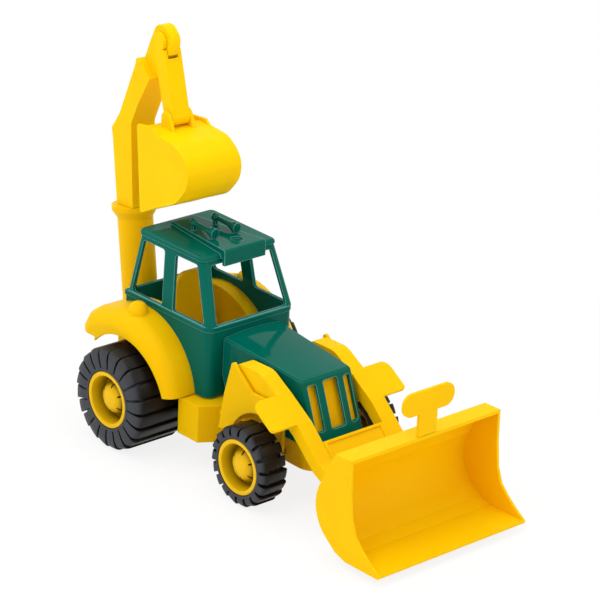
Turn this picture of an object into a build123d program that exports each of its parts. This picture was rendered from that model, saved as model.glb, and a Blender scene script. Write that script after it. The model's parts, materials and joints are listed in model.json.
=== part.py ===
"""Toy backhoe loader in snap-together moulded plastic.

Frame: X forward, Y to the driver's left, Z up, millimetres.
Sizes are measured from the ground point midway between the rear wheels; the saved
solids have their origin on the ground at the middle of the toy's length.
Side profiles are drawn as (forward, height) on planes square to Y.
"""
import os
from math import asin, cos, degrees, pi, radians, sin, tan

from build123d import *

# ---------------------------------------------------------------- driving sizes
SIDES = (("right", -1), ("left", 1))
WALL = 2.5                 # moulded wall
PLAY = 0.06                # radial play of a turning bore on its pin
SEAM = 0.2                 # gap between two mouldings that are clipped together
SKIN = 1.2                 # plastic left over the end of a blind pin hole

WHEELBASE = 150.0
TAIL_X, CUTTING_EDGE_X = -103.56, 326.0
MIDDLE_X = (TAIL_X + CUTTING_EDGE_X) / 2
AXLE_R = 3.0
PIN_R = 3.0

REAR_R, REAR_IN, REAR_OUT = 45.2, 36.0, 94.0
FRONT_R, FRONT_IN, FRONT_OUT = 34.7, 50.0, 76.7

# chassis: a spine open below, a step each side, panels and guards over the front wheels
SPINE_HALF, SPINE_BOTTOM, DECK_Z = 26.0, 26.0, 60.0
SPINE_REAR, DECK_FRONT = -62.0, 150.0
NOSE_TOP, NOSE_REAR, NOSE_TIP = 50.0, 140.0, 190.0
STEP_HALF = 60.0
PANEL_IN, PANEL_OUT = 49.2, 52.2
GUARD_R, GUARD_IN = 39.5, 33.0

# rear fenders: centre and radius of the crown, |y| range, rear end, wheel opening
FENDER_X, FENDER_Z, FENDER_R = -8.0, 50.0, 68.0
FENDER_IN, FENDER_OUT, FENDER_ROUND = 31.0, 78.0, 15.0
FENDER_REAR, FENDER_TAIL_Z = -61.0, 86.5
FENDER_BACK = (-44.0, 110.3), (-54.5, 103.2), (FENDER_REAR, 92.0)
ARCH_R = 53.5

# cab
SILL_Z, SILL_REAR, SILL_FRONT, SILL_HALF = 124.0, -34.7, 75.6, 46.8
SILL_BAND, SILL_LIP = 4.5, 0.8
ROOF_Z, ROOF_REAR, ROOF_FRONT, ROOF_HALF = 176.0, -27.0, 57.5, 40.0
PILLAR = 7.0
CAB_WALL = 3.0

# hood
HOOD_REAR, HOOD_REAR_Z, HOOD_REAR_HALF = SILL_FRONT + SILL_LIP + SEAM, 115.0, 32.0
HOOD_FRONT, HOOD_FRONT_Z, HOOD_FRONT_HALF = 172.5, 106.5, 26.9
HOOD_RAKE = 0.382          # forward lean of the grille for each millimetre down
HOOD_BOW = 3.5             # how far the middle of the grille stands out
HOOD_CROWN = 2.4           # how far the middle of the bonnet stands up

# loader
ARM_IN, ARM_OUT = 33.0, 48.0
LIFT_X, LIFT_Z = 122.0, 93.0
TILT_X, TILT_Z = 243.0, 36.0
BUCKET_HALF = 82.0
HANDLE_X = 287.0

# backhoe: raked swivel axis through the collar, and the arm's heading from straight ahead
SWIVEL_X, COLLAR_Z, RAKE, SWING = -83.6, 176.0, 7.5, -7.0
POST_R, COLLAR_R, SHELF_Z = 15.6, 20.0, 62.0
COLLAR_TOP, SPIGOT_R, SPIGOT_TOP = 1.2, 6.0, 13.0
BOOM_HALF, TONGUE_HALF, STICK_HALF, DIG_HALF = 12.0, 4.5, 8.5, 26.5
ELBOW, CROWD = (70.0, 154.8), (79.5, 91.0)      # pins in the arm's (out, up) plane

FORWARD = (cos(radians(RAKE)), 0, sin(radians(RAKE)))
POST_AXIS = (-sin(radians(RAKE)), 0, cos(radians(RAKE)))
ARM_OUTWARD = [cos(radians(SWING)) * f + sin(radians(SWING)) * y for f, y in zip(FORWARD, (0, 1, 0))]
ARM_RIGHT = [sin(radians(SWING)) * f - cos(radians(SWING)) * y for f, y in zip(FORWARD, (0, 1, 0))]


def side_plane(side, inner, outer):
    """A plane square to Y from which extruding (outer - inner) fills that |y| range."""
    return Plane.XZ.offset(inner if side < 0 else -outer)


def arm_plane(left):
    """The backhoe arm's (out, up) plane, moved a distance to the arm's left."""
    origin = [c - left * r for c, r in zip((SWIVEL_X, 0, COLLAR_Z), ARM_RIGHT)]
    return Plane(origin=tuple(origin), x_dir=tuple(ARM_OUTWARD), z_dir=tuple(ARM_RIGHT))


def slab(points, plane, amount, mode=Mode.ADD, rounds=None):
    """Extrude a closed outline from a plane; rounds gives corner numbers their radii."""
    with BuildSketch(plane) as outline:
        with BuildLine():
            Polyline(*points, close=True)
        make_face()
        for corner, radius in (rounds or {}).items():
            x, y = points[corner]
            nearest = min(outline.vertices(), key=lambda v: (v.X - x) ** 2 + (v.Y - y) ** 2)
            fillet(nearest, radius)
    extrude(outline.sketch, amount=amount, mode=mode)


def disc(centre, radius, plane, amount, mode=Mode.ADD):
    """Extrude a circle from a plane into the part being built."""
    with BuildSketch(plane) as circle:
        with Locations(centre):
            Circle(radius)
    extrude(circle.sketch, amount=amount, mode=mode)


def save(builder, label):
    """Write one solid, moved so that the origin is at the middle of the toy's length."""
    solid = Pos(-MIDDLE_X, 0, 0) * builder.part
    solid.label = label
    export_step(solid, f"parts/{label}.step")


os.makedirs("parts", exist_ok=True)

# ---------------------------------------------------------------- chassis
STEP_PLAN = ((49, 20), (54, STEP_HALF), (80, STEP_HALF), (92, 40), (98, 20))
STEP_HOLLOW = ((53, SPINE_HALF), (56.5, 57.5), (78.5, 57.5), (89, 38), (92, SPINE_HALF))
FLOOR_REAR = 98.2
PANEL = ((97, 44), (103, 78), (112, 110), (120, 103), (137, 90), (163, 90), (176, 66), (150, 60))
POST_FOOT_X = SWIVEL_X + (COLLAR_Z - SHELF_Z) * tan(radians(RAKE))

with BuildPart() as chassis:
    slab(
        (
            (SPINE_REAR, SPINE_BOTTOM), (SPINE_REAR, DECK_Z), (DECK_FRONT, DECK_Z),
            (DECK_FRONT, NOSE_TOP), (DECK_FRONT, SPINE_BOTTOM),
        ),
        Plane.XZ.offset(-SPINE_HALF), 2 * SPINE_HALF,
    )
    # rounded nose, raked back towards the ground
    for height, half, tip, corner in ((SPINE_BOTTOM, 24.0, 183.0, 15.0), (NOSE_TOP, 28.6, NOSE_TIP, 17.0)):
        with BuildSketch(Plane.XY.offset(height)):
            with Locations(((NOSE_REAR + tip) / 2, 0)):
                RectangleRounded(tip - NOSE_REAR, 2 * half, corner)
    loft()
    for _, side in SIDES:
        slab([(x, side * y) for x, y in STEP_PLAN], Plane.XY.offset(SPINE_BOTTOM), DECK_Z - 1 - SPINE_BOTTOM)
    # shelf that carries the backhoe post
    slab(
        (
            (SPINE_REAR + 2, -18), (SPINE_REAR + 2, 18), (POST_FOOT_X, 18), (POST_FOOT_X, -18),
        ),
        Plane.XY.offset(SHELF_Z - 14), 14,
    )
    disc((POST_FOOT_X, 0), POST_R + 6, Plane.XY.offset(SHELF_Z - 14), 14)
    # hollow underside
    slab(
        (
            (SPINE_REAR + WALL, SPINE_BOTTOM), (SPINE_REAR + WALL, DECK_Z - WALL),
            (DECK_FRONT - WALL, DECK_Z - WALL), (DECK_FRONT - WALL, NOSE_TOP - WALL),
            (NOSE_TIP - 20, NOSE_TOP - WALL), (NOSE_TIP - 22, SPINE_BOTTOM),
        ),
        Plane.XZ.offset(-SPINE_HALF + 4), 2 * SPINE_HALF - 8, Mode.SUBTRACT,
    )
    for _, side in SIDES:
        slab(
            [(x, side * y) for x, y in STEP_HOLLOW], Plane.XY.offset(SPINE_BOTTOM),
            DECK_Z - 1 - WALL - SPINE_BOTTOM, Mode.SUBTRACT,
        )
    for axle_x, axle_z in ((0, REAR_R), (WHEELBASE, FRONT_R)):
        disc((axle_x, axle_z), AXLE_R, Plane.XZ.offset(-100), 200, Mode.SUBTRACT)
save(chassis, "chassis")

# panel that carries the loader arm, the guard over the front wheel and the web between them
for hand, side in SIDES:
    with BuildPart() as mount:
        slab(PANEL, side_plane(side, PANEL_IN, PANEL_OUT), PANEL_OUT - PANEL_IN, rounds={2: 2, 5: 6, 6: 3})
        with BuildSketch(side_plane(side, GUARD_IN, PANEL_OUT)) as guard:
            with Locations((WHEELBASE, FRONT_R)):
                Circle(GUARD_R + WALL)
            with Locations((WHEELBASE, 0)):
                Rectangle(120, 2 * (DECK_Z - WALL), mode=Mode.SUBTRACT)
        extrude(guard.sketch, amount=PANEL_OUT - GUARD_IN)
        # floor behind the wheel
        slab(
            ((FLOOR_REAR, DECK_Z - WALL), (FLOOR_REAR, DECK_Z), (118, DECK_Z), (118, DECK_Z - WALL)),
            side_plane(side, SPINE_HALF, PANEL_OUT), PANEL_OUT - SPINE_HALF,
        )
        # web inboard of the wheel, on a foot that reaches the spine
        slab(
            ((112, 40), (112, DECK_Z), (DECK_FRONT, 77), (182, DECK_Z), (178, 40)),
            side_plane(side, GUARD_IN, GUARD_IN + WALL), WALL,
        )
        slab(
            ((112, 40), (112, 47), (138, 47), (138, 40)),
            side_plane(side, SPINE_HALF, GUARD_IN + WALL), GUARD_IN + WALL - SPINE_HALF,
        )
        disc(
            (WHEELBASE, FRONT_R), GUARD_R, side_plane(side, GUARD_IN + WALL, STEP_HALF),
            STEP_HALF - GUARD_IN - WALL, Mode.SUBTRACT,
        )
        disc(
            (LIFT_X, LIFT_Z), PIN_R, side_plane(side, PANEL_IN, PANEL_OUT - SKIN),
            PANEL_OUT - SKIN - PANEL_IN, Mode.SUBTRACT,
        )
        disc((WHEELBASE, FRONT_R), AXLE_R, Plane.XZ.offset(-100), 200, Mode.SUBTRACT)
    save(mount, f"loader_mount_{hand}")

# ---------------------------------------------------------------- wheels and axles
# name, axle x, radius, rim radius, inner |y|, outer |y|, lugs round the tyre, lug height, groove, dish
WHEELS = (
    ("rear", 0.0, REAR_R, 25.0, REAR_IN, REAR_OUT, 20, 3.6, 2.0, 15.0),
    ("front", WHEELBASE, FRONT_R, 24.0, FRONT_IN, FRONT_OUT, 18, 2.8, 2.6, 10.0),
)


def wheel_plane(axle_x, radius, side, inner):
    """A wheel's inner face, looking out along the axle."""
    return Plane(origin=(axle_x, side * inner, radius), x_dir=(1, 0, 0), z_dir=(0, side, 0))


def ring_of_flats(axle_x, radius, side, inner, flats, stations):
    """A many-sided ring with a corner straight down; stations are (distance outwards, corner radius)."""
    rings = []
    for along, corner_r in stations:
        plane = wheel_plane(axle_x, radius, side, inner).offset(along)
        with BuildSketch(plane) as ring:
            RegularPolygon(corner_r, flats, rotation=90)
        rings.append(ring.sketch)
    loft(rings, ruled=True)


for name, axle_x, radius, rim_r, inner, outer, lugs, lug_h, groove, dish in WHEELS:
    width = outer - inner
    bead = rim_r - 1.0
    groove_foot = rim_r + 3
    carcass_r = max(radius - 11, rim_r + 2.5)       # at the shoulder, under the lugs
    crest = radius + tan(pi / lugs) * groove / 2    # corner of the ring that brings the lugs to the ground
    hub_floor = width - dish - 2
    axle_end = outer - dish - 5
    with BuildPart() as axle:
        disc((axle_x, radius), AXLE_R, Plane.XZ.offset(-axle_end), 2 * axle_end)
    save(axle, f"{name}_axle")

    for hand, side in SIDES:
        turning = Axis((axle_x, 0, radius), (0, 1, 0))
        # (distance from the axle, distance outwards) through the wheel's middle
        section = Plane(origin=(axle_x, side * inner, radius), x_dir=(1, 0, 0), z_dir=(0, 0, side))

        with BuildPart() as tyre:
            ring_of_flats(
                axle_x, radius, side, inner, lugs,
                ((0, crest - 8), (3, crest - 1.8), (6, crest), (width - 6, crest),
                 (width - 3, crest - 1.8), (width, crest - 8)),
            )
            groove_plane = wheel_plane(axle_x, radius, side, inner)
            with BuildSketch(groove_plane) as grooves:
                with PolarLocations((groove_foot + radius + 3) / 2, lugs, start_angle=90):
                    Rectangle(radius + 3 - groove_foot, groove)
            extrude(amount=width, mode=Mode.SUBTRACT)
            ring_of_flats(
                axle_x, radius, side, inner, lugs,
                ((1.8, carcass_r), (7, radius - lug_h), (width - 7, radius - lug_h), (width - 1.8, carcass_r)),
            )
            with BuildSketch(section) as bore:
                with BuildLine():
                    Polyline(
                        (0, -1), (bead, -1), (bead, width - 2.05), (rim_r + SEAM, width - 2.05),
                        (rim_r + SEAM, width + 1), (0, width + 1), close=True,
                    )
                make_face()
            revolve(axis=turning, mode=Mode.SUBTRACT)
        save(tyre, f"{name}_{hand}_tyre")

        with BuildPart() as rim:
            with BuildSketch(section) as dish_profile:
                with BuildLine():
                    Polyline(
                        (bead, 2), (bead, width - 2), (rim_r, width - 2), (rim_r, width - 0.5),
                        (rim_r - 4, width - 0.5), (rim_r - 6, hub_floor), (12, hub_floor),
                        (9.5, width - 5), (4, width - 2.8), (0, width - 2.8),
                        (0, width - dish - 5 + 0.3), (AXLE_R + PLAY, width - dish - 5 + 0.3),
                        (AXLE_R + PLAY, 2), (AXLE_R + 5, 2), (AXLE_R + 5, width - dish - 5),
                        (rim_r - 6, width - dish - 5), (rim_r - 4, 2), close=True,
                    )
                make_face()
            revolve(axis=turning)
        save(rim, f"{name}_{hand}_rim")

# ---------------------------------------------------------------- rear fenders
MARKER_X, MARKER_Y, MARKER_TOP, MARKER_R = -9, 56, 122, 6.3

for hand, side in SIDES:
    with BuildPart() as fender:
        # the second pass hollows the first one out
        for inset, mode, foot in ((0, Mode.ADD, DECK_Z + SEAM), (WALL, Mode.SUBTRACT, DECK_Z - 8)):
            inner, outer = FENDER_IN + inset, FENDER_OUT - inset
            r = FENDER_R - inset
            tail = FENDER_REAR + inset
            with BuildPart(mode=Mode.PRIVATE) as crown:
                with BuildSketch(side_plane(side, inner, outer)) as crown_side:
                    with BuildLine():
                        low = degrees(asin((foot - FENDER_Z) / r))
                        arc = CenterArc((FENDER_X, FENDER_Z), r, low, 101 - low)
                        back = [(max(x, tail), z - inset) for x, z in FENDER_BACK]
                        Polyline(arc @ 1, *back, (tail, foot), arc @ 0)
                    make_face()
                extrude(amount=outer - inner)
                face = crown.faces().sort_by(Axis.Y)[0 if side < 0 else -1]
                foot_edge = face.edges().sort_by(Axis.Z)[0]
                rim_edges = [edge for edge in face.edges() if edge.center().Z > foot_edge.center().Z + 1]
                if inset:
                    chamfer(rim_edges, FENDER_ROUND - 6)
                else:
                    fillet(rim_edges, FENDER_ROUND)
            add(crown.part, mode=mode)
        disc(
            (0, REAR_R), ARCH_R, side_plane(side, FENDER_IN + WALL, FENDER_OUT + 1),
            FENDER_OUT + 1 - FENDER_IN - WALL, Mode.SUBTRACT,
        )
        slab(
            ((-80, 40), (-80, FENDER_TAIL_Z), (-38, FENDER_TAIL_Z), (-38, 40)),
            side_plane(side, FENDER_IN + WALL, FENDER_OUT + 1), FENDER_OUT + 1 - FENDER_IN - WALL,
            Mode.SUBTRACT,
        )
        # marker lamp on the crown beside the cab
        with BuildSketch(Plane.XZ.offset(-side * MARKER_Y)) as marker:
            with BuildLine():
                Polyline(
                    (MARKER_X, 112), (MARKER_X + MARKER_R, 112), (MARKER_X + MARKER_R, MARKER_TOP - 5),
                    (MARKER_X + 4, MARKER_TOP - 1.4), (MARKER_X + 1.5, MARKER_TOP), (MARKER_X, MARKER_TOP),
                    close=True,
                )
            make_face()
        revolve(axis=Axis((MARKER_X, side * MARKER_Y, 0), (0, 0, 1)))
    save(fender, f"fender_{hand}")

# ---------------------------------------------------------------- cab
# pillars: x at the sill, x under the roof
PILLARS = ((SILL_REAR, ROOF_REAR), (20.0, 15.0), (SILL_FRONT, ROOF_FRONT))
CORNER_R = 8.0

with BuildPart() as cab:
    for inset, mode in ((0, Mode.ADD), (CAB_WALL, Mode.SUBTRACT)):
        # lower body: four walls, open above and below
        front, rear, half = SILL_FRONT - inset, SILL_REAR + inset, SILL_HALF - inset
        slab(
            ((rear, -half), (front, -half), (front, half), (rear, half)),
            Plane.XY.offset(DECK_Z + SEAM), SILL_Z - DECK_Z - SEAM, mode,
            {1: CORNER_R - inset, 2: CORNER_R - inset},
        )
        # glasshouse: tapers from the sill up to the roof
        with BuildSketch(Plane.XY.offset(SILL_Z)):
            with Locations(((SILL_REAR + SILL_FRONT) / 2, 0)):
                RectangleRounded(SILL_FRONT - SILL_REAR - 2 * inset, 2 * (SILL_HALF - inset), 6 - inset)
        with BuildSketch(Plane.XY.offset(ROOF_Z)):
            with Locations(((ROOF_REAR + ROOF_FRONT) / 2, 0)):
                RectangleRounded(ROOF_FRONT - ROOF_REAR - 2 * inset, 2 * (ROOF_HALF - inset), 6 - inset)
        loft(mode=mode)
    # raised band round the sill
    for grow, mode in ((SILL_LIP, Mode.ADD), (-CAB_WALL, Mode.SUBTRACT)):
        front, rear, half = SILL_FRONT + grow, SILL_REAR - grow, SILL_HALF + grow
        slab(
            ((rear, -half), (front, -half), (front, half), (rear, half)),
            Plane.XY.offset(SILL_Z - SILL_BAND), SILL_BAND, mode,
            {1: CORNER_R + grow, 2: CORNER_R + grow},
        )
    for (low_a, high_a), (low_b, high_b) in zip(PILLARS, PILLARS[1:]):
        slab(
            (
                (low_a + PILLAR, SILL_Z + 0.5), (high_a + PILLAR, ROOF_Z - 4),
                (high_b - PILLAR, ROOF_Z - 4), (low_b - PILLAR, SILL_Z + 0.5),
            ),
            Plane.XZ.offset(-60), 120, Mode.SUBTRACT, dict.fromkeys(range(4), 3.0),
        )
    slab(
        (
            (-SILL_HALF + 8, SILL_Z + 0.5), (-ROOF_HALF + 7, ROOF_Z - 4),
            (ROOF_HALF - 7, ROOF_Z - 4), (SILL_HALF - 8, SILL_Z + 0.5),
        ),
        Plane.YZ.offset(-60), 160, Mode.SUBTRACT, dict.fromkeys(range(4), 3.0),
    )
    for _, side in SIDES:
        with BuildSketch(side_plane(side, FENDER_IN - SEAM, 60)) as fender_room:
            with Locations((FENDER_X, FENDER_Z)):
                Circle(FENDER_R + SEAM)
            with BuildLine():
                Polyline(
                    (-20.9, 117), (FENDER_BACK[0][0], FENDER_BACK[0][1] + SEAM), (FENDER_REAR, 100),
                    (FENDER_REAR, 40), (0, 40), close=True,
                )
            make_face()
        extrude(fender_room.sketch, amount=60 - FENDER_IN + SEAM, mode=Mode.SUBTRACT)
save(cab, "cab")

# ---------------------------------------------------------------- roof with its two horns
ROOF_REAR_TOP, ROOF_FRONT_TOP, ROOF_ROUND = 180.8, 179.8, 3.2
PANEL_REAR, PANEL_FRONT, PANEL_TOP, VISOR, VISOR_Z = -20.0, 64.0, 184.5, 3.4, 170.6
HORN_X, HORN_Y, HORN_Z, HORN_DIP = 8.0, 12.0, 190.8, 2.5    # rear end of the horn, and its dip forwards
# along the horn from its rear knob to its bell: x, radius
HORN = (
    (0, 0), (0, 2.6), (1.2, 3.4), (4.2, 3.4), (5.4, 1.9), (19, 2.2), (25, 3.6), (27, 4.4), (31, 4.4), (31, 0),
)
HORN_FEET = (2.7, 3.2), (28.0, 4.4)      # along the horn, width

with BuildPart() as roof:
    # the skin is thicker at the rear
    with BuildSketch(Plane.XY.offset(ROOF_Z)):
        with Locations(((ROOF_REAR + ROOF_FRONT) / 2, 0)):
            RectangleRounded(ROOF_FRONT - ROOF_REAR + 2, 2 * ROOF_HALF + 2, 6)
    extrude(amount=10)
    slab(
        ((-60, ROOF_REAR_TOP + 0.6), (-60, 200), (90, 200), (90, ROOF_FRONT_TOP - 0.6)),
        Plane.XZ.offset(-60), 120, Mode.SUBTRACT,
    )
    fillet(roof.faces().filter_by(lambda f: f.normal_at().Z > 0.95).edges(), ROOF_ROUND)
    # raised middle, running down in front as a visor
    with BuildPart(mode=Mode.PRIVATE) as raised:
        slab(
            (
                (PANEL_REAR, ROOF_Z), (PANEL_REAR + 1.5, PANEL_TOP - 0.7), (PANEL_FRONT, PANEL_TOP),
                (PANEL_FRONT, VISOR_Z), (PANEL_FRONT - VISOR, VISOR_Z), (PANEL_FRONT - VISOR, ROOF_Z),
            ),
            Plane.XZ.offset(-30), 60, rounds={1: 1.5, 2: 2},
        )
        slab(
            ((PANEL_REAR, -12.5), (PANEL_FRONT, -22.5), (PANEL_FRONT, 22.5), (PANEL_REAR, 12.5)),
            Plane.XY.offset(VISOR_Z), 30, Mode.INTERSECT, {0: 3, 3: 3},
        )
    add(raised.part)
    for _, side in SIDES:
        along = (cos(radians(HORN_DIP)), 0, -sin(radians(HORN_DIP)))
        lengthwise = Plane(origin=(HORN_X, side * HORN_Y, HORN_Z), x_dir=along, z_dir=(0, -1, 0))
        with BuildSketch(lengthwise) as horn:
            with BuildLine():
                Polyline(*HORN, close=True)
            make_face()
        revolve(axis=Axis((HORN_X, side * HORN_Y, HORN_Z), along))
        for x, width in HORN_FEET:
            with BuildSketch(Plane.XY.offset(ROOF_Z + 3)):
                with Locations((HORN_X + x, side * HORN_Y)):
                    Rectangle(3, width)
            extrude(amount=HORN_Z - x * sin(radians(HORN_DIP)) - ROOF_Z - 3)
    # locating dimple
    disc((48, 4), 5.5, Plane.XY.offset(182.4), 10, Mode.SUBTRACT)
save(roof, "roof")

# ---------------------------------------------------------------- hood, grille and engine block
NOSE_Z, NOSE_X, DECK_EDGE = NOSE_TOP + SEAM, DECK_FRONT + SEAM, DECK_Z + SEAM
GRILLE_SLOTS = (-19.0, 4.2, 100.8), (0, 7.8, 102.5), (19.0, 4.2, 100.8)      # middle, half width, top
SLOT_FOOT = 64.0


def hood_body(inset):
    """The hood's outside, or its inside when inset by a wall: its plan is swept up along the rake."""
    front = HOOD_FRONT + (HOOD_FRONT_Z - NOSE_Z) * HOOD_RAKE - inset
    half_slope = (HOOD_REAR_HALF - HOOD_FRONT_HALF) / (HOOD_FRONT - HOOD_REAR)
    rear_half, front_half = HOOD_REAR_HALF - inset, HOOD_FRONT_HALF - inset
    rear = front - (HOOD_REAR_HALF - HOOD_FRONT_HALF) / half_slope - 10
    with BuildSketch(Plane.XY.offset(NOSE_Z)) as plan:
        with BuildLine():
            Polyline(
                (front - HOOD_BOW, -front_half), (rear, -rear_half), (rear, rear_half),
                (front - HOOD_BOW, front_half),
            )
            ThreePointArc((front - HOOD_BOW, front_half), (front, 0), (front - HOOD_BOW, -front_half))
        make_face()
        if not inset:
            fillet(plan.vertices().sort_by(Axis.X)[-2:], 2.5)
    extrude(plan.sketch, amount=80, dir=(-HOOD_RAKE, 0, 1))
    # everything above the crowned bonnet
    above = []
    fall = (HOOD_REAR_Z - HOOD_FRONT_Z) / (HOOD_FRONT - HOOD_REAR)
    wide = HOOD_REAR_HALF + 0.5
    for x in (HOOD_REAR - 10, HOOD_FRONT + 30):
        z = HOOD_FRONT_Z - inset + (HOOD_FRONT - x) * fall
        with BuildSketch(Plane.YZ.offset(x)) as sky:
            with BuildLine():
                Polyline((-wide, z - HOOD_CROWN), (-wide, 160), (wide, 160), (wide, z - HOOD_CROWN))
                ThreePointArc((wide, z - HOOD_CROWN), (0, z), (-wide, z - HOOD_CROWN))
            make_face()
        above.append(sky.sketch)
    loft(above, ruled=True, mode=Mode.SUBTRACT)
    slab(
        ((0, 0), (0, 200), (HOOD_REAR - inset, 200), (HOOD_REAR - inset, 0)),
        Plane.XZ.offset(-50), 100, Mode.SUBTRACT,
    )


with BuildPart() as hood_inside:
    hood_body(WALL)
with BuildPart() as hood:
    hood_body(0)
    crest = hood.faces().filter_by(lambda f: f.normal_at().Z > 0.95).sort_by(Axis.Z)[-1].edges()
    chamfer([edge for edge in crest if edge.center().X > HOOD_REAR + 3], 1.6)
    add(hood_inside.part, mode=Mode.SUBTRACT)
    # the foot steps up from the nose to the deck
    slab(
        ((70, 40), (70, DECK_EDGE), (NOSE_X, DECK_EDGE), (NOSE_X, 40)),
        Plane.XZ.offset(-40), 80, Mode.SUBTRACT,
    )
    for y, half, top in GRILLE_SLOTS:
        slab(
            ((y - half, SLOT_FOOT), (y + half, SLOT_FOOT), (y + half, top), (y - half, top)),
            Plane.YZ.offset(150), 60, Mode.SUBTRACT, dict.fromkeys(range(4), 2.0),
        )
save(hood, "hood")

BLOCK_TOP, BLOCK_HALF = 102.6, 23.4
BLOCK_FRONT = HOOD_FRONT - WALL - HOOD_BOW - 0.8     # at the height of the hood's front edge
with BuildPart() as engine_block:
    slab(
        (
            (112, DECK_EDGE), (112, BLOCK_TOP),
            (BLOCK_FRONT + (HOOD_FRONT_Z - BLOCK_TOP) * HOOD_RAKE, BLOCK_TOP),
            (BLOCK_FRONT + (HOOD_FRONT_Z - NOSE_Z) * HOOD_RAKE, NOSE_Z), (NOSE_X, NOSE_Z),
            (NOSE_X, DECK_EDGE),
        ),
        Plane.XZ.offset(-BLOCK_HALF), 2 * BLOCK_HALF,
    )
save(engine_block, "engine_block")

# ---------------------------------------------------------------- seat
SEAT_BACK_X, SEAT_BACK, SEAT_HALF, SEAT_TOP = -4.5, 4.0, 19.0, 141.5
CUSHION_Z, CUSHION_FRONT = 84.0, 28.0

with BuildPart() as seat:
    slab(
        (
            (SEAT_BACK_X, DECK_EDGE), (SEAT_BACK_X, CUSHION_Z), (CUSHION_FRONT, CUSHION_Z),
            (CUSHION_FRONT, DECK_EDGE),
        ),
        Plane.XZ.offset(-SEAT_HALF), 2 * SEAT_HALF, rounds={2: 4},
    )
    slab(
        (
            (-SEAT_HALF, CUSHION_Z - 1), (-SEAT_HALF, SEAT_TOP), (SEAT_HALF, SEAT_TOP),
            (SEAT_HALF, CUSHION_Z - 1),
        ),
        Plane.YZ.offset(SEAT_BACK_X), SEAT_BACK, rounds={1: 11, 2: 11},
    )
save(seat, "seat")

# ---------------------------------------------------------------- loader
ARM_SIDE = (
    (107.5, 95), (112, 107.5), (142, 108), (165, 95), (190, 79), (217, 54), (245, 42.5), (249, 36),
    (243, 30), (236, 32), (211, 45), (185, 68), (160, 84), (140, 90), (132, 84), (109, 86),
)
TAB_OUT, TAB_REAR, TAB_FRONT = 74.0, (163, 96.3), (189, 79.7)
TAB_RUN = (TAB_FRONT[0] - TAB_REAR[0], TAB_FRONT[1] - TAB_REAR[1])
LUG = 3.2                  # thickness of each lug beside the end of a loader arm
LUG_GAP = 0.8

tab_top = Plane(
    origin=(TAB_REAR[0], 0, TAB_REAR[1]), x_dir=(TAB_RUN[0], 0, TAB_RUN[1]),
    z_dir=(-TAB_RUN[1], 0, TAB_RUN[0]),
)
for hand, side in SIDES:
    with BuildPart() as loader_arm:
        slab(
            ARM_SIDE, side_plane(side, ARM_IN, ARM_OUT), ARM_OUT - ARM_IN,
            rounds={0: 6, 1: 10, 2: 18, 3: 30, 5: 20, 6: 5, 7: 5, 8: 4, 13: 6, 14: 4, 15: 4},
        )
        # open below between the two skirts, ahead of the pivot boss
        slab(
            (
                (146, 60), (146, 101), (165, 92), (188, 77), (214, 53), (232, 42), (232, 20),
                (180, 20),
            ),
            side_plane(side, ARM_IN + WALL, ARM_OUT - WALL), ARM_OUT - ARM_IN - 2 * WALL,
            Mode.SUBTRACT,
        )
        for x, z in ((LIFT_X, LIFT_Z), (TILT_X, TILT_Z)):
            disc((x, z), PIN_R + PLAY, Plane.XZ.offset(-100), 200, Mode.SUBTRACT)
        # finger tab, flush with the arm's top face
        tab_run = (TAB_RUN[0] ** 2 + TAB_RUN[1] ** 2) ** 0.5
        slab(
            (
                (0, side * (ARM_OUT - 1)), (0, side * TAB_OUT), (tab_run, side * TAB_OUT),
                (tab_run, side * (ARM_OUT - 1)),
            ),
            tab_top, -WALL, rounds={1: 8, 2: 3.5},
        )
    save(loader_arm, f"loader_arm_{hand}")

    with BuildPart() as lift_pin:
        pin_end = PANEL_OUT - SKIN - SEAM
        disc((LIFT_X, LIFT_Z), PIN_R, side_plane(side, ARM_IN + 1, pin_end), pin_end - ARM_IN - 1)
    save(lift_pin, f"lift_pin_{hand}")

PLATE_TOP = (204.5, 66), (217, 54), (234, 43)
with BuildPart() as cross_plate:
    slab(
        (*PLATE_TOP, (232.5, 40.8), (215.3, 51.8), (203, 64)),
        Plane.XZ.offset(-ARM_IN), 2 * ARM_IN,
    )
    # sunk field between the arms
    slab(
        ((207, 67), (219.4, 54.6), (229.5, 47.5), (228.3, 45.4), (216.9, 52.3), (205.7, 63)),
        Plane.XZ.offset(-ARM_IN + 4), 2 * ARM_IN - 8, Mode.SUBTRACT,
    )
save(cross_plate, "loader_cross_plate")

BUCKET_BACK = (257, 65), (251.8, 42), (264, 20)          # rear curve, from the top down
with BuildPart() as bucket:
    with BuildSketch(Plane.XZ.offset(-BUCKET_HALF)) as bucket_side:
        with BuildLine():
            Polyline(
                BUCKET_BACK[2], (276, 11), (288, 7), (CUTTING_EDGE_X, 7), (CUTTING_EDGE_X, 9.5), (316, 16),
                (306, 24), (298, 32), (293, 45), (290.5, 68), (290, 95), (272, 94.5), (262, 78),
                BUCKET_BACK[0],
            )
            ThreePointArc(*BUCKET_BACK)
        make_face()
    extrude(amount=2 * BUCKET_HALF)
    with BuildSketch(Plane.XZ.offset(-BUCKET_HALF + WALL)) as cavity:
        with BuildLine():
            Polyline((266.2, 21.6), (277, 13.6), (288, 9.6), (340, 9.6), (340, 92), (273.5, 92),
                     (264.5, 77), (259.5, 64.3))
            ThreePointArc((259.5, 64.3), (254.4, 42), (266.2, 21.6))
        make_face()
    extrude(amount=2 * BUCKET_HALF - 2 * WALL, mode=Mode.SUBTRACT)
    for _, side in SIDES:
        for inner in (ARM_IN - LUG_GAP - LUG, ARM_OUT + LUG_GAP):
            slab(
                ((238, 30), (238, 42), (253, 50), (254.5, 40), (258, 27), (246, 29)),
                side_plane(side, inner, inner + LUG), LUG, rounds={0: 4, 1: 4},
            )
            disc((TILT_X, TILT_Z), PIN_R, side_plane(side, inner, inner + LUG), LUG, Mode.SUBTRACT)
save(bucket, "loader_bucket")

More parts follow.
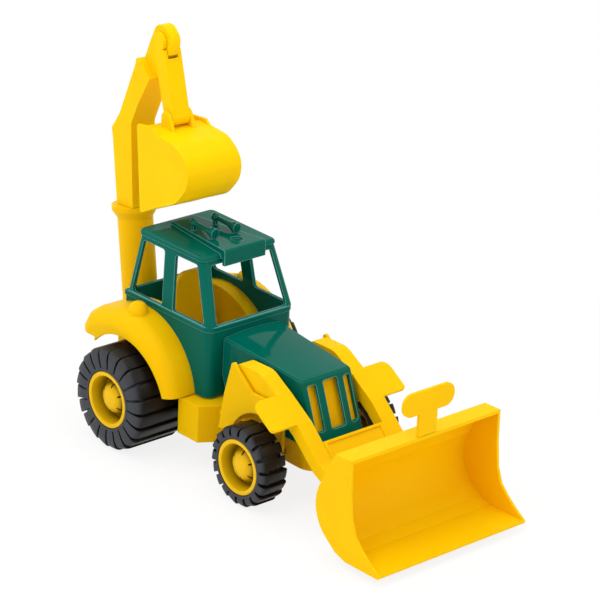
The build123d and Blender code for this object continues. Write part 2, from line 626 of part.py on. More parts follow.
for hand, side in SIDES:
    with BuildPart() as tilt_pin:
        inner, outer = ARM_IN - LUG_GAP - LUG, ARM_OUT + LUG_GAP + LUG
        disc((TILT_X, TILT_Z), PIN_R, side_plane(side, inner, outer), outer - inner)
    save(tilt_pin, f"tilt_pin_{hand}")

with BuildPart() as bucket_handle:
    with BuildSketch(Plane.YZ.offset(HANDLE_X)) as tee:
        with Locations((0, 125)):
            RectangleRounded(56, 20, 9.5)
        with Locations((0, 105.3)):
            Rectangle(20, 20)
        necks = tee.vertices().filter_by(lambda v: abs(v.Z - 115) < 0.1 and abs(abs(v.Y) - 10) < 0.1)
        fillet(necks, 5)
    extrude(amount=WALL)
save(bucket_handle, "bucket_handle")

# ---------------------------------------------------------------- backhoe
post_side = Plane(origin=(SWIVEL_X, 0, COLLAR_Z), x_dir=FORWARD, z_dir=(0, -1, 0))
with BuildPart() as post:
    with BuildSketch(post_side) as post_profile:
        with BuildLine():
            Polyline(
                (0, -125), (POST_R, -125), (POST_R, -10.5), (COLLAR_R, -3), (COLLAR_R, COLLAR_TOP),
                (SPIGOT_R, COLLAR_TOP), (SPIGOT_R, SPIGOT_TOP), (0, SPIGOT_TOP), close=True,
            )
        make_face()
    revolve(axis=Axis((SWIVEL_X, 0, COLLAR_Z), POST_AXIS))
    slab(
        ((-150, 0), (-150, SHELF_Z + SEAM), (0, SHELF_Z + SEAM), (0, 0)),
        Plane.XZ.offset(-60), 120, Mode.SUBTRACT,
    )
save(post, "backhoe_post")

# outlines in the arm's plane: (out from the swivel, up from the collar)
BOOM_FOOT = COLLAR_TOP + 0.3
BOOM_SIDE = (
    (-9.5, BOOM_FOOT), (-9, 60), (-9.7, 69.5), (-2, 76.7), (6, 85.3), (36, 130.6), (39.9, 138.7),
    (58, 121.8), (36, 96), (23, 77.5), (16.5, BOOM_FOOT),
)
TONGUE_SIDE = (
    (36, 125), (40, 136), (51, 152.6), (60.5, 165.1), ELBOW, (80.5, 145.5), (77, 144), (56, 119.4),
)
TONGUE_R, CHEEK_R, STICK_END_R = 14.0, 8.0, 6.9
with BuildPart() as boom:
    slab(BOOM_SIDE, arm_plane(BOOM_HALF), 2 * BOOM_HALF, rounds={2: 4, 6: 2})
    slab(TONGUE_SIDE, arm_plane(TONGUE_HALF), 2 * TONGUE_HALF)
    disc(ELBOW, TONGUE_R, arm_plane(TONGUE_HALF), 2 * TONGUE_HALF)
    swivel_foot = [c + (BOOM_FOOT - 1) * a for c, a in zip((SWIVEL_X, 0, COLLAR_Z), POST_AXIS)]
    disc(
        (0, 0), SPIGOT_R + PLAY, Plane(origin=tuple(swivel_foot), z_dir=POST_AXIS),
        SPIGOT_TOP - BOOM_FOOT + 1.3, Mode.SUBTRACT,
    )
    disc(ELBOW, PIN_R, arm_plane(20), 40, Mode.SUBTRACT)
save(boom, "backhoe_boom")

with BuildPart() as elbow_pin:
    pin_end = STICK_HALF - SKIN - SEAM
    disc(ELBOW, PIN_R, arm_plane(pin_end), 2 * pin_end)
save(elbow_pin, "elbow_pin")

STICK_SIDE = ((62, 150), (70, 104.8), (72.7, 91), CROWD, (86.2, 91.7), (77.5, 148))
TONGUE_ROOM = ((45, 175), (45, 112), (66.5, 127.5), (79.5, 142), (85, 150), (85, 175))
with BuildPart() as stick:
    slab(STICK_SIDE, arm_plane(STICK_HALF), 2 * STICK_HALF)
    disc(ELBOW, CHEEK_R, arm_plane(STICK_HALF), 2 * STICK_HALF)
    disc(CROWD, STICK_END_R, arm_plane(STICK_HALF), 2 * STICK_HALF)
    slab(TONGUE_ROOM, arm_plane(TONGUE_HALF + 0.3), 2 * TONGUE_HALF + 0.6, Mode.SUBTRACT)
    disc(ELBOW, PIN_R + PLAY, arm_plane(STICK_HALF - SKIN), 2 * STICK_HALF - 2 * SKIN, Mode.SUBTRACT)
    disc(CROWD, PIN_R + PLAY, arm_plane(20), 40, Mode.SUBTRACT)
save(stick, "backhoe_stick")

DIG_SIDE = (
    (57, 82.5), (79, 83.4), (90, 81), (115.7, 76.8), (129.8, 66.4), (134.5, 56), (130, 42), (111, 26),
    (76, 15.4), (54, 8), (53, 10),
)
DIG_INSIDE = (
    (40, 79.5), (79, 80.9), (89.5, 78.5), (114.7, 74.4), (127.6, 64.9), (131.8, 56.1), (127.8, 43.5),
    (109.8, 28.3), (75.2, 17.8), (40, 6.2),
)
DIG_ROUNDS = {3: 25, 4: 20, 5: 15, 6: 25, 7: 40}
EAR_IN, EAR = STICK_HALF + 0.3, 3.0
with BuildPart() as dig_bucket:
    slab(DIG_SIDE, arm_plane(DIG_HALF), 2 * DIG_HALF, rounds=DIG_ROUNDS)
    slab(
        DIG_INSIDE, arm_plane(DIG_HALF - WALL), 2 * DIG_HALF - 2 * WALL, Mode.SUBTRACT,
        {corner: radius - WALL for corner, radius in DIG_ROUNDS.items()},
    )
    # rib along the top of each side plate
    for left in (DIG_HALF, WALL - DIG_HALF):
        slab(((57, 80), (57, 84), (59, 86), (84, 86), (92, 79)), arm_plane(left), WALL)
    for left, hole_left in ((EAR_IN + EAR, EAR_IN + EAR - SKIN), (-EAR_IN, -EAR_IN)):
        slab(
            ((71, 81), (74, 94.5), (79.5, 98.5), (85, 94.5), (90, 79)), arm_plane(left), EAR,
            rounds={1: 3, 2: 5, 3: 3},
        )
        disc(CROWD, PIN_R, arm_plane(hole_left), EAR - SKIN, Mode.SUBTRACT)
save(dig_bucket, "backhoe_bucket")

with BuildPart() as crowd_pin:
    pin_end = EAR_IN + EAR - SKIN
    disc(CROWD, PIN_R, arm_plane(pin_end), 2 * pin_end)
save(crowd_pin, "crowd_pin")
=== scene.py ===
"""Looks of a toy backhoe loader in moulded plastic, dressed over its CAD frame."""
from math import atan2, pi, radians

import bmesh
import bpy
from mathutils import Euler, Matrix, Vector
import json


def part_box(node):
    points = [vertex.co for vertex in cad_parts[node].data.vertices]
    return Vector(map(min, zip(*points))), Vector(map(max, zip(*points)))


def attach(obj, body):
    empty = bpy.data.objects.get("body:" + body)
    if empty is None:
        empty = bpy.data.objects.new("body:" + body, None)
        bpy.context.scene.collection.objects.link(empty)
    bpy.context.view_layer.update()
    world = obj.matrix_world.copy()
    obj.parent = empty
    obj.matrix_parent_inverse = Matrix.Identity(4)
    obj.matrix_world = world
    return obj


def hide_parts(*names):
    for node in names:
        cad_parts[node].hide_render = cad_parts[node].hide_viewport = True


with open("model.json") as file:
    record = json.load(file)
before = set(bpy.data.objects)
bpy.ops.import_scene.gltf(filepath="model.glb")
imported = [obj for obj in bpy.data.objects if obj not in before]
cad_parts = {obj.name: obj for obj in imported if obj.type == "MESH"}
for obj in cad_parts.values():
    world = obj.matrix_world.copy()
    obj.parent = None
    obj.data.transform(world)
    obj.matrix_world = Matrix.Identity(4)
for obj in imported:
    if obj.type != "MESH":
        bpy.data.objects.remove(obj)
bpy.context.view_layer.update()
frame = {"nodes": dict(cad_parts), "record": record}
MM = 0.001
MERGED = 0.002 * MM        # points closer than this are one

# ---------------------------------------------------------------- finishes
# linear colours: the general tone, and the slightly lighter tone of the flow marks
CHASSIS_YELLOW = (0.86, 0.500, 0.0006), (0.89, 0.525, 0.0008)
WHEEL_YELLOW = (0.80, 0.475, 0.0010), (0.84, 0.505, 0.0015)
LOADER_YELLOW = (0.90, 0.530, 0.0006), (0.92, 0.555, 0.0008)
BACKHOE_YELLOW = (0.94, 0.565, 0.0005), (0.96, 0.590, 0.0006)
BODY_GREEN = (0.0002, 0.107, 0.074), (0.0004, 0.126, 0.093)
# painted highlight along the green body's rounded edges
PAINTED_EDGE_HIGHLIGHT = (0.120, 0.400, 0.380)
# tread black, and the painted grey-blue sheen of the tyre's sidewalls
TREAD_BLACK, PAINTED_SIDEWALL_SHEEN = (0.0055, 0.0045, 0.0028), (0.040, 0.043, 0.052)
DRAWN_STEEL = (0.45, 0.45, 0.44), (0.52, 0.52, 0.50)
PLASTIC_IOR = 1.49
GLOW_DEPTH = 4 * MM                                    # how far light travels inside the plastic
GLOW_SHARES = (1.0, 0.45, 0.05)                        # of that depth, for red, green and blue
FLOW_FROM, FLOW_TO = 0.35, 0.70                        # where in the pattern the flow marks fade in
GLOSSIEST, DULLEST = 0.85, 1.2                         # share of the roughness, from spot to spot
SINK_HEIGHT, GRAIN_HEIGHT = 0.25 * MM, 0.1 * MM
# how fine each pattern is, in waves along a metre
FLOW_MARKS, GLOSS_SPOTS, SINK_WAVES, MOULD_GRAIN = 14, 60, 45, 900


def new_material(name):
    """A material with its nodes and links."""
    material = bpy.data.materials.new(name)
    material.use_nodes = True
    return material, material.node_tree.nodes, material.node_tree.links


def noise(nodes, links, place, scale, detail):
    """A noise pattern that stays put on the piece."""
    pattern = nodes.new("ShaderNodeTexNoise")
    pattern.inputs["Scale"].default_value = scale
    pattern.inputs["Detail"].default_value = detail
    links.new(place, pattern.inputs["Vector"])
    return pattern.outputs["Fac"]


def moulded_plastic(name, colours, roughness, grain, edge, shine=0.5, subsurface=0.0):
    """Injection-moulded plastic: faint flow marks, a fine grain, and edges that catch the light."""
    material, nodes, links = new_material(name)
    shader = nodes["Principled BSDF"]
    place = nodes.new("ShaderNodeTexCoord").outputs["Object"]

    tint = nodes.new("ShaderNodeValToRGB")
    for stop, where, colour in zip(tint.color_ramp.elements, (FLOW_FROM, FLOW_TO), colours):
        stop.position = where
        stop.color = (*colour, 1)
    links.new(noise(nodes, links, place, FLOW_MARKS, 4), tint.inputs["Fac"])
    links.new(tint.outputs["Color"], shader.inputs["Base Color"])

    gloss = nodes.new("ShaderNodeMapRange")
    gloss.inputs["To Min"].default_value = roughness * GLOSSIEST
    gloss.inputs["To Max"].default_value = roughness * DULLEST
    links.new(noise(nodes, links, place, GLOSS_SPOTS, 6), gloss.inputs["Value"])
    links.new(gloss.outputs["Result"], shader.inputs["Roughness"])

    # long soft waves where the wall sinks as it cools, and the mould's own fine grain
    sink = nodes.new("ShaderNodeBump")
    sink.inputs["Strength"].default_value = 0.25
    sink.inputs["Distance"].default_value = SINK_HEIGHT
    links.new(noise(nodes, links, place, SINK_WAVES, 1), sink.inputs["Height"])
    bump = nodes.new("ShaderNodeBump")
    bump.inputs["Strength"].default_value = grain
    bump.inputs["Distance"].default_value = GRAIN_HEIGHT
    links.new(noise(nodes, links, place, MOULD_GRAIN, 2), bump.inputs["Height"])
    soft = nodes.new("ShaderNodeBevel")
    soft.samples = 6
    soft.inputs["Radius"].default_value = edge
    links.new(soft.outputs["Normal"], sink.inputs["Normal"])
    links.new(sink.outputs["Normal"], bump.inputs["Normal"])
    links.new(bump.outputs["Normal"], shader.inputs["Normal"])

    shader.inputs["IOR"].default_value = PLASTIC_IOR
    shader.inputs["Specular IOR Level"].default_value = shine
    shader.inputs["Subsurface Weight"].default_value = subsurface
    shader.inputs["Subsurface Radius"].default_value = GLOW_SHARES
    shader.inputs["Subsurface Scale"].default_value = GLOW_DEPTH
    return material


def tyre_plastic(name, tread, sidewall):
    """Matt black plastic, with a painted grey-blue sheen on the faces that stand square to the axle."""
    material = moulded_plastic(name, (tread, tread), roughness=0.42, grain=0.30, edge=0.4 * MM, shine=0.22)
    nodes, links = material.node_tree.nodes, material.node_tree.links
    shader = nodes["Principled BSDF"]
    facing = nodes.new("ShaderNodeSeparateXYZ")
    links.new(nodes.new("ShaderNodeNewGeometry").outputs["Normal"], facing.inputs["Vector"])
    across = nodes.new("ShaderNodeMath")
    across.operation = "ABSOLUTE"
    links.new(facing.outputs["Y"], across.inputs[0])
    # painted sheen: the faces square to the axle turn grey-blue
    wall = nodes.new("ShaderNodeMapRange")
    wall.inputs["From Min"].default_value, wall.inputs["From Max"].default_value = 0.35, 0.95
    links.new(across.outputs["Value"], wall.inputs["Value"])
    tone = nodes.new("ShaderNodeValToRGB")
    for stop, colour in zip(tone.color_ramp.elements, (tread, sidewall)):
        stop.color = (*colour, 1)
    links.new(wall.outputs["Result"], tone.inputs["Fac"])
    links.new(tone.outputs["Color"], shader.inputs["Base Color"])
    return material


# name, colours, roughness, grain, radius of a soft edge, shine, share of light that spreads inside
PLASTICS = (
    ("chassis_yellow", CHASSIS_YELLOW, 0.42, 0.12, 0.6 * MM, 0.05, 0.55),
    ("wheel_yellow", WHEEL_YELLOW, 0.30, 0.12, 0.4 * MM, 0.12, 0.15),
    ("loader_yellow", LOADER_YELLOW, 0.46, 0.12, 0.6 * MM, 0.05, 0.45),
    ("backhoe_yellow", BACKHOE_YELLOW, 0.46, 0.12, 0.6 * MM, 0.04, 0.45),
    ("body_green", BODY_GREEN, 0.07, 0.02, 1.0 * MM, 0.07, 0.0),
)
FINISHES = {name: moulded_plastic(name, *finish) for name, *finish in PLASTICS}
FINISHES["tyre_black"] = tyre_plastic("tyre_black", TREAD_BLACK, PAINTED_SIDEWALL_SHEEN)
FINISHES["pin_steel"] = moulded_plastic("pin_steel", DRAWN_STEEL, roughness=0.35, grain=0.10, edge=0.2 * MM)
FINISHES["pin_steel"].node_tree.nodes["Principled BSDF"].inputs["Metallic"].default_value = 1


def paint_shade_in_hollows(material, reach):
    """Paint shade in the colour, darker in narrow hollows. It is painted shade, so it stays under any
    light.
    """
    nodes, links = material.node_tree.nodes, material.node_tree.links
    colour = nodes["Principled BSDF"].inputs["Base Color"]
    painted_shade = nodes.new("ShaderNodeAmbientOcclusion")
    painted_shade.samples = 8
    painted_shade.inputs["Distance"].default_value = reach
    links.new(colour.links[0].from_socket, painted_shade.inputs["Color"])
    links.new(painted_shade.outputs["Color"], colour)


# where the painted highlight line starts and where it is full
HIGHLIGHT_STARTS, HIGHLIGHT_FULL = 0.97, 0.80      # cosine of the angle between the rounded and the true face


def paint_edge_highlight(material, highlight, width):
    """Paint a highlight in the colour: the thin bright line of a glossy rounded edge. It is a painted
    highlight, so it stays under any light.
    """
    nodes, links = material.node_tree.nodes, material.node_tree.links
    colour = nodes["Principled BSDF"].inputs["Base Color"]
    rounded = nodes.new("ShaderNodeBevel")
    rounded.samples = 8
    rounded.inputs["Radius"].default_value = width
    square = nodes.new("ShaderNodeNewGeometry").outputs["Normal"]
    turned = nodes.new("ShaderNodeVectorMath")
    turned.operation = "DOT_PRODUCT"
    links.new(rounded.outputs["Normal"], turned.inputs[0])
    links.new(square, turned.inputs[1])
    edge = nodes.new("ShaderNodeMapRange")
    edge.inputs["From Min"].default_value, edge.inputs["From Max"].default_value = HIGHLIGHT_STARTS, HIGHLIGHT_FULL
    links.new(turned.outputs["Value"], edge.inputs["Value"])
    blend = nodes.new("ShaderNodeMix")
    blend.data_type = "RGBA"
    blend.inputs["B"].default_value = (*highlight, 1)
    links.new(edge.outputs["Result"], blend.inputs["Factor"])
    links.new(colour.links[0].from_socket, blend.inputs["A"])
    links.new(blend.outputs["Result"], colour)


# painted shade in the hollows of the rims
paint_shade_in_hollows(FINISHES["wheel_yellow"], reach=14 * MM)
# painted highlight along the edges of the green body
paint_edge_highlight(FINISHES["body_green"], PAINTED_EDGE_HIGHLIGHT, width=1.6 * MM)
SLOT_OF = {part["node"]: part["material_slot"] for part in frame["record"]["subparts"]}
for node, cad in frame["nodes"].items():
    cad.data.materials.clear()
    cad.data.materials.append(FINISHES[SLOT_OF[node]])


CREASE = radians(38)       # a sharper turn than this stays a hard edge


def finish_piece(mesh, name, body, node, crease=CREASE, stands_in=True):
    """Close a bmesh into an object that rides on a body, in a CAD node's finish or in its stead."""
    bmesh.ops.remove_doubles(mesh, verts=mesh.verts, dist=MERGED)
    bmesh.ops.recalc_face_normals(mesh, faces=mesh.faces)
    data = bpy.data.meshes.new(name)
    mesh.to_mesh(data)
    mesh.free()
    for face in data.polygons:
        face.use_smooth = True
    data.set_sharp_from_angle(angle=crease)
    data.materials.append(FINISHES[SLOT_OF[node]])
    piece = bpy.data.objects.new(name, data)
    bpy.context.scene.collection.objects.link(piece)
    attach(piece, body)
    if stands_in:
        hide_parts(node)
    return piece


# ---------------------------------------------------------------- wheels
# name, lugs round the tyre, lug height, angle between two lugs, shoulder width, rim radius, dish depth
WHEELS = (
    ("rear", 20, 3.6 * MM, radians(3.0), 5.6 * MM, 25.0 * MM, 13.0 * MM),
    ("front", 18, 3.0 * MM, radians(5.0), 4.0 * MM, 24.0 * MM, 10.0 * MM),
)
SAW = 1.5 * MM             # how much lower a lug's trailing edge is than its leading edge
LUG_ROUND = 0.3 * MM       # rounding of the edges at a lug's two ends
TYRE_FACETS, RIM_FACETS, LUG_FACETS = 90, 96, 4


class Wheel:
    """One wheel's axle, width and outward direction, read from its tyre's box."""

    def __init__(self, name, hand):
        low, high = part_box(f"{name}_{hand}_tyre")
        self.side = 1 if hand == "left" else -1
        self.radius = high.z / 2
        self.width = high.y - low.y
        self.inner = low.y if self.side > 0 else high.y
        self.centre = Vector(((low.x + high.x) / 2, 0, self.radius))

    def point(self, distance, out):
        """Straight above the axle, a distance from it and so far out from the inner face."""
        return self.centre + Vector((0, self.inner + self.side * out, distance))

    def ring(self, mesh, profile, closed):
        """Join (distance from the axle, distance outwards) points into a profile."""
        verts = [mesh.verts.new(self.point(*spot)) for spot in profile]
        pairs = list(zip(verts, verts[1:])) + ([(verts[-1], verts[0])] if closed else [])
        return verts, [mesh.edges.new(pair) for pair in pairs]

    def turn(self, mesh, profile, closed, steps, angle=2 * pi):
        """Turn a profile round the axle and return the new geometry."""
        verts, edges = self.ring(mesh, profile, closed)
        return bmesh.ops.spin(
            mesh, geom=verts + edges, cent=self.centre, axis=(0, 1, 0), angle=angle, steps=steps,
            use_merge=angle == 2 * pi,
        )


def lug_profile(wheel, rim, height, shoulder):
    """Closed section of one lug: sidewall, shoulder and tread outside, the carcass inside."""
    r, w = wheel.radius, wheel.width
    half = (
        (rim + 2 * MM, 0.3 * MM), ((rim + r) / 2, 0), (r - 0.6 * shoulder, 0.12 * shoulder),
        (r - 0.2 * shoulder, 0.45 * shoulder), (r, shoulder),
    )
    foot = ((r - height - 1 * MM, 8 * MM), (r - 10 * MM, 3 * MM), (rim + 2 * MM, 2.4 * MM))
    outside = [*half, *((distance, w - out) for distance, out in reversed(half))]
    inside = [*((distance, w - out) for distance, out in reversed(foot)), *foot]
    return outside + inside


def chunky_tyre(name, hand, lugs, height, gap, shoulder, rim):
    """A carcass with a ring of stepped lugs that run down both sidewalls."""
    wheel = Wheel(name, hand)
    r, w = wheel.radius, wheel.width
    tyre = bmesh.new()
    carcass = (
        (rim - 1 * MM, 0), (rim + 2.5 * MM, 0), (rim + 3.4 * MM, 1.4 * MM), (r - 10 * MM, 1.8 * MM),
        (r - height, 7 * MM), (r - height, w - 7 * MM), (r - 10 * MM, w - 1.8 * MM),
        (rim + 3.4 * MM, w - 1.4 * MM), (rim + 2.5 * MM, w - 0.1 * MM), (rim + 0.3 * MM, w - 0.1 * MM),
        (rim + 0.3 * MM, w - 1.8 * MM), (rim - 1 * MM, w - 1.8 * MM),
    )
    wheel.turn(tyre, carcass, True, TYRE_FACETS)

    lug = bmesh.new()
    pitch = 2 * pi / lugs
    wheel.turn(lug, lug_profile(wheel, rim, height, shoulder), True, LUG_FACETS, pitch - gap)
    bmesh.ops.remove_doubles(lug, verts=lug.verts, dist=MERGED)
    bmesh.ops.holes_fill(lug, edges=[edge for edge in lug.edges if edge.is_boundary], sides=0)
    bmesh.ops.recalc_face_normals(lug, faces=lug.faces)
    for vert in lug.verts:
        arm = vert.co - wheel.centre
        arm.y = 0
        along = atan2(arm.x, arm.z) / (pitch - gap)
        if arm.length > r - height:
            vert.co -= arm.normalized() * SAW * abs(along)
    ends = [face for face in lug.faces if len(face.verts) > 4]     # every other face has four sides
    rounded = {edge for face in ends for edge in face.edges}
    bmesh.ops.bevel(
        lug, geom=list(rounded), offset=LUG_ROUND, affect="EDGES", segments=2, profile=0.5, material=-1,
        clamp_overlap=True,
    )
    pattern = bpy.data.meshes.new("lug")
    lug.to_mesh(pattern)
    lug.free()
    for number in range(lugs):
        before = len(tyre.verts)
        tyre.from_mesh(pattern)
        tyre.verts.ensure_lookup_table()
        bmesh.ops.rotate(
            tyre, verts=tyre.verts[before:], cent=wheel.centre,
            matrix=Matrix.Rotation(number * pitch + gap / 2, 3, "Y"),
        )
    bpy.data.meshes.remove(pattern)
    node = f"{name}_{hand}_tyre"
    return finish_piece(tyre, f"{name}_{hand}_chunky_tyre", f"{name}_{hand}_wheel", node)


POCKETS, POCKET_FACETS, POCKET_DEPTH = 6, 2, 5.0 * MM


def dished_rim(name, hand, rim, dish):
    """Rolled lip, deep dish and a domed hub with a ring of narrow core pockets."""
    wheel = Wheel(name, hand)
    w = wheel.width
    floor = w - dish - 1.5 * MM
    cone_foot, cone_top = 17.6 * MM, 11.5 * MM
    profile = (
        (5.6 * MM, 2 * MM), (8 * MM, 2 * MM), (8 * MM, floor - 3 * MM), (rim - 6.5 * MM, floor - 3 * MM),
        (rim - 4 * MM, 2 * MM), (rim - 1 * MM, 2 * MM), (rim - 1 * MM, w - 1.7 * MM), (rim, w - 1.7 * MM),
        (rim, w - 0.8 * MM), (rim - 0.3 * MM, w - 0.35 * MM), (rim - 0.9 * MM, w - 0.15 * MM),
        (rim - 3.0 * MM, w - 0.15 * MM), (rim - 3.7 * MM, w - 0.4 * MM), (rim - 4.1 * MM, w - 1.2 * MM),
        (rim - 5.6 * MM, floor + 2.2 * MM), (rim - 6.3 * MM, floor + 0.5 * MM), (cone_foot, floor),
        (cone_foot - 1 * MM, floor + 0.4 * MM), (cone_foot - 2 * MM, floor + 1.3 * MM),
        (cone_top + 1.2 * MM, w - 6.4 * MM), (cone_top, w - 5.2 * MM), (cone_top - 1.6 * MM, w - 4.3 * MM),
        (7.0 * MM, w - 3.4 * MM), (3.5 * MM, w - 2.8 * MM), (0, w - 2.6 * MM),
    )
    shape = bmesh.new()
    wheel.turn(shape, profile, False, RIM_FACETS)
    bmesh.ops.remove_doubles(shape, verts=shape.verts, dist=MERGED)
    bmesh.ops.recalc_face_normals(shape, faces=shape.faces)
    pockets = []
    for face in shape.faces:
        arm = face.calc_center_median() - wheel.centre
        out = (arm.y - wheel.inner) * wheel.side
        arm.y = 0
        facet = int((atan2(arm.x, arm.z) / (2 * pi) % 1) * RIM_FACETS)
        on_cone = cone_top - 1.6 * MM < arm.length < cone_foot - 2 * MM and out > floor
        if on_cone and facet % (RIM_FACETS // POCKETS) < POCKET_FACETS:
            pockets.append(face)
    sunk = bmesh.ops.extrude_face_region(shape, geom=pockets)["geom"]
    bmesh.ops.translate(
        shape, verts=[item for item in sunk if isinstance(item, bmesh.types.BMVert)],
        vec=(0, -wheel.side * POCKET_DEPTH, 0),
    )
    bmesh.ops.delete(shape, geom=pockets, context="FACES_ONLY")
    node = f"{name}_{hand}_rim"
    return finish_piece(shape, f"{name}_{hand}_dished_rim", f"{name}_{hand}_wheel", node)


for name, lugs, height, gap, shoulder, rim, dish in WHEELS:
    for hand in ("left", "right"):
        chunky_tyre(name, hand, lugs, height, gap, shoulder, rim)
        dished_rim(name, hand, rim, dish)


# ---------------------------------------------------------------- loader mounts
WEB_KEPT = 0.70            # share of the mount's length, from the rear, that keeps its web
KNIFE_LENGTH, KNIFE_WIDTH, KNIFE_DEPTH = 60 * MM, 60 * MM, 50 * MM
KNIFE_HEIGHT = 46 * MM     # of the knife's middle over the ground
MOUNT_CREASE = radians(12)      # low, because the mount's walls are flat


def open_web_mount(hand):
    """The mount with the front of its web cut away, so that the hood's foot shows past the wheel."""
    node = f"loader_mount_{hand}"
    low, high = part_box(node)
    shape = bmesh.new()
    shape.from_mesh(frame["nodes"][node].data)
    bmesh.ops.remove_doubles(shape, verts=shape.verts, dist=MERGED)
    data = bpy.data.meshes.new("mount_blank")
    shape.to_mesh(data)
    shape.free()
    blank = bpy.data.objects.new("mount_blank", data)
    knife_shape = bmesh.new()
    bmesh.ops.create_cube(knife_shape, size=1)
    start = low.x + WEB_KEPT * (high.x - low.x)
    middle = (start + KNIFE_LENGTH / 2, (low.y + high.y) / 2, KNIFE_HEIGHT)
    bmesh.ops.scale(knife_shape, verts=knife_shape.verts, vec=(KNIFE_LENGTH, KNIFE_WIDTH, KNIFE_DEPTH))
    bmesh.ops.translate(knife_shape, verts=knife_shape.verts, vec=middle)
    knife = bpy.data.objects.new("web_knife", bpy.data.meshes.new("web_knife"))
    knife_shape.to_mesh(knife.data)
    knife_shape.free()
    for item in (blank, knife):
        bpy.context.scene.collection.objects.link(item)
    cut = blank.modifiers.new("cut", "BOOLEAN")
    cut.operation, cut.solver, cut.object = "DIFFERENCE", "EXACT", knife
    bpy.context.view_layer.update()
    done = bpy.data.meshes.new_from_object(blank.evaluated_get(bpy.context.evaluated_depsgraph_get()))
    mount = bmesh.new()
    mount.from_mesh(done)
    for item in (blank, knife):
        bpy.data.objects.remove(item)
    for leftover in (data, done):
        bpy.data.meshes.remove(leftover)
    return finish_piece(mount, f"open_web_mount_{hand}", "tractor", node, MOUNT_CREASE)


for hand in ("left", "right"):
    open_web_mount(hand)


# ---------------------------------------------------------------- marker lamps
LAMP_X, LAMP_Y = -113.2 * MM, 60.0 * MM      # along the toy, and out to each side
LAMP_FOOT, LAMP_TOP, LAMP_R = 112.0 * MM, 126.5 * MM, 8.4 * MM
LAMP_FACETS = 32
# the lamp's outline: share of its radius, share of its height
LAMP_OUTLINE = (
    (1.10, 0), (1.03, 0.38), (0.97, 0.55), (0.88, 0.72), (0.70, 0.87), (0.45, 0.96), (0.20, 0.99), (0, 1),
)


def fender_marker_lamp(hand):
    """A smooth rounded bump on the fender's crown, moulded in one with it."""
    centre = Vector((LAMP_X, LAMP_Y if hand == "left" else -LAMP_Y, LAMP_FOOT))
    height = LAMP_TOP - LAMP_FOOT
    bump = bmesh.new()
    verts = [bump.verts.new(centre + Vector((LAMP_R * out, 0, height * up))) for out, up in LAMP_OUTLINE]
    edges = [bump.edges.new(pair) for pair in zip(verts, verts[1:])]
    bmesh.ops.spin(
        bump, geom=verts + edges, cent=centre, axis=(0, 0, 1), angle=2 * pi, steps=LAMP_FACETS,
        use_merge=True,
    )
    bmesh.ops.remove_doubles(bump, verts=bump.verts, dist=MERGED)
    bmesh.ops.holes_fill(bump, edges=[edge for edge in bump.edges if edge.is_boundary], sides=0)
    return finish_piece(bump, f"fender_marker_lamp_{hand}", "tractor", f"fender_{hand}", stands_in=False)


for hand in ("left", "right"):
    fender_marker_lamp(hand)


# ---------------------------------------------------------------- floor, light and camera
FLOOR_HALF = 3.0
SHADE_TO, CLEAR_FROM = 0.22, 0.50       # from the middle: where the shade starts to fade, and is gone
WHITE_NEAR = 0.84                       # share of plain white in the floor close to the toy
WORLD_LIGHT = 0.78


def rays_of_the_view(nodes, links, bounced):
    """One for a ray from the camera or of the bounced kinds, and nought for light on the toy."""
    path = nodes.new("ShaderNodeLightPath")
    share = path.outputs["Is Camera Ray"]
    for kind in bounced:
        either = nodes.new("ShaderNodeMath")
        either.operation = "MAXIMUM"
        links.new(share, either.inputs[0])
        links.new(path.outputs[kind], either.inputs[1])
        share = either.outputs["Value"]
    return share


def mixed(nodes, links, share, first, second, output):
    """Lead a mix of two shaders to an output."""
    mix = nodes.new("ShaderNodeMixShader")
    links.new(share, mix.inputs["Fac"])
    links.new(first.outputs[0], mix.inputs[1])
    links.new(second.outputs[0], mix.inputs[2])
    links.new(mix.outputs[0], nodes[output].inputs["Surface"])


def studio_floor_white():
    """White that is mostly plain to the eye, and lets a faint shade show close under the toy."""
    material, nodes, links = new_material("studio_floor_white")
    lit = nodes["Principled BSDF"]
    lit.inputs["Base Color"].default_value = (0.93, 0.93, 0.93, 1)
    lit.inputs["Roughness"].default_value = 0.9
    plain = nodes.new("ShaderNodeEmission")
    away = nodes.new("ShaderNodeVectorMath")
    away.operation = "LENGTH"
    links.new(nodes.new("ShaderNodeTexCoord").outputs["Object"], away.inputs[0])
    near = nodes.new("ShaderNodeMapRange")
    near.interpolation_type = "SMOOTHSTEP"
    near.inputs["From Min"].default_value, near.inputs["From Max"].default_value = SHADE_TO, CLEAR_FROM
    near.inputs["To Min"].default_value = WHITE_NEAR
    links.new(away.outputs["Value"], near.inputs["Value"])
    share = nodes.new("ShaderNodeMath")
    share.operation = "MULTIPLY"
    links.new(near.outputs["Result"], share.inputs[0])
    links.new(rays_of_the_view(nodes, links, ("Is Glossy Ray",)), share.inputs[1])
    mixed(nodes, links, share.outputs["Value"], lit, plain, "Material Output")
    return material


def studio_floor():
    """A wide flat floor for the wheels to stand on."""
    grid = bmesh.new()
    bmesh.ops.create_grid(grid, x_segments=1, y_segments=1, size=FLOOR_HALF)
    floor = bpy.data.objects.new("floor", bpy.data.meshes.new("floor"))
    grid.to_mesh(floor.data)
    grid.free()
    floor.data.materials.append(studio_floor_white())
    bpy.context.scene.collection.objects.link(floor)


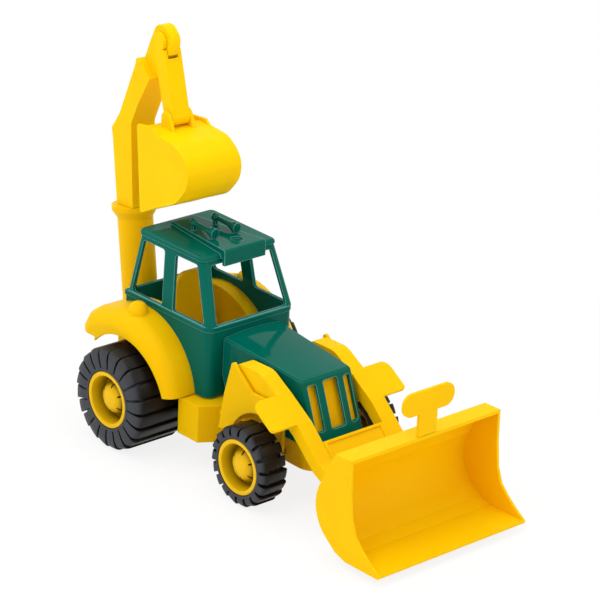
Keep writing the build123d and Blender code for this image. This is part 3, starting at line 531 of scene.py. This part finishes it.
def studio_world():
    """Plain white to the eye and in reflections, and a weaker light on the toy."""
    world = bpy.data.worlds.new("studio")
    world.use_nodes = True
    bpy.context.scene.world = world
    nodes, links = world.node_tree.nodes, world.node_tree.links
    lighting = nodes["Background"]
    lighting.inputs["Color"].default_value = (1, 1, 1, 1)
    lighting.inputs["Strength"].default_value = WORLD_LIGHT
    backdrop = nodes.new("ShaderNodeBackground")
    backdrop.inputs["Color"].default_value = (1, 1, 1, 1)
    share = rays_of_the_view(nodes, links, ("Is Glossy Ray", "Is Transmission Ray"))
    mixed(nodes, links, share, lighting, backdrop, "World Output")


# name, place, length of its square side, watts
SOFTBOXES = (
    ("key_softbox", (0.10, -1.05, 1.45), 0.9, 7.5),
    ("fill_softbox", (1.30, 0.20, 0.90), 0.8, 3),
    ("top_softbox", (-0.20, 0.10, 1.60), 1.2, 6.5),
    ("side_edge_light", (-1.22, -0.63, 1.25), 0.30, 2),
)
LIT_POINT = Vector((0, 0, 0.1))


def softbox(name, place, side, watts):
    """A square area lamp that faces the middle of the toy."""
    lamp = bpy.data.lights.new(name, "AREA")
    lamp.shape = "RECTANGLE"
    lamp.size, lamp.size_y, lamp.energy = side, side, watts
    holder = bpy.data.objects.new(name, lamp)
    holder.location = place
    holder.rotation_euler = (LIT_POINT - Vector(place)).to_track_quat("-Z", "Y").to_euler()
    bpy.context.scene.collection.objects.link(holder)


AZIMUTH, ELEVATION, ROLL = radians(47.41), radians(22.26), radians(2.51)
AIM, DISTANCE, LENS = Vector((0.01203, 0.00972, 0.15265)), 2.42105, 176.07


def studio_camera():
    """A long lens, from the front right and a little above."""
    camera = bpy.data.objects.new("camera", bpy.data.cameras.new("camera"))
    camera.data.lens = LENS
    turn = Euler((pi / 2 - ELEVATION, 0, AZIMUTH)).to_matrix().to_4x4()
    away = turn @ Vector((0, 0, DISTANCE))
    camera.matrix_world = Matrix.Translation(AIM + away) @ turn @ Matrix.Rotation(ROLL, 4, "Z")
    bpy.context.scene.collection.objects.link(camera)
    bpy.context.scene.camera = camera


studio_floor()
studio_world()
for name, place, side, watts in SOFTBOXES:
    softbox(name, place, side, watts)
studio_camera()
bpy.context.scene.view_settings.view_transform = "Standard"
